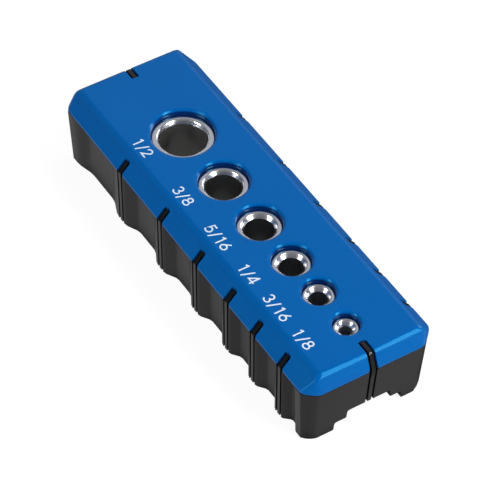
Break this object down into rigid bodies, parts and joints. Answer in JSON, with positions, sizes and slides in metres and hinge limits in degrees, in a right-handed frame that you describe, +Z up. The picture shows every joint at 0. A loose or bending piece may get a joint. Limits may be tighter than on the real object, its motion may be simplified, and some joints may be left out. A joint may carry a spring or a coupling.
{
  "type": "portable drilling guide",
  "caption": "Hand-held block with a row of hardened steel drill bushings, sight ribs on every side, finger scallops and a stepped channel underneath.",
  "frame": {"origin": "centre of the underside of the block, on the surface that it stands on", "axes": "+X along the row of bores from the largest to the smallest, +Y away from the size labels, +Z up out of the top cover"},
  "size_m": [0.1224, 0.0394, 0.0238],
  "materials": {
    "blue_plastic": "satin moulded",
    "black_plastic": "fine spark texture",
    "polished_steel": "turned and polished",
    "zinc_steel": "zinc plated",
    "grip_rubber": "matt"
  },
  "bodies": {
    "root": {"top_cover": "blue_plastic", "base_body": "black_plastic", "guide_bushing_1_2": "polished_steel", "guide_bushing_3_8": "polished_steel", "guide_bushing_5_16": "polished_steel", "guide_bushing_1_4": "polished_steel", "guide_bushing_3_16": "polished_steel", "guide_bushing_1_8": "polished_steel", "cover_screw_rear_left": "zinc_steel", "cover_screw_rear_right": "zinc_steel", "cover_screw_front_left": "zinc_steel", "cover_screw_front_right": "zinc_steel", "grip_strip_left": "grip_rubber", "grip_strip_right": "grip_rubber"}
  },
  "joints": []
}
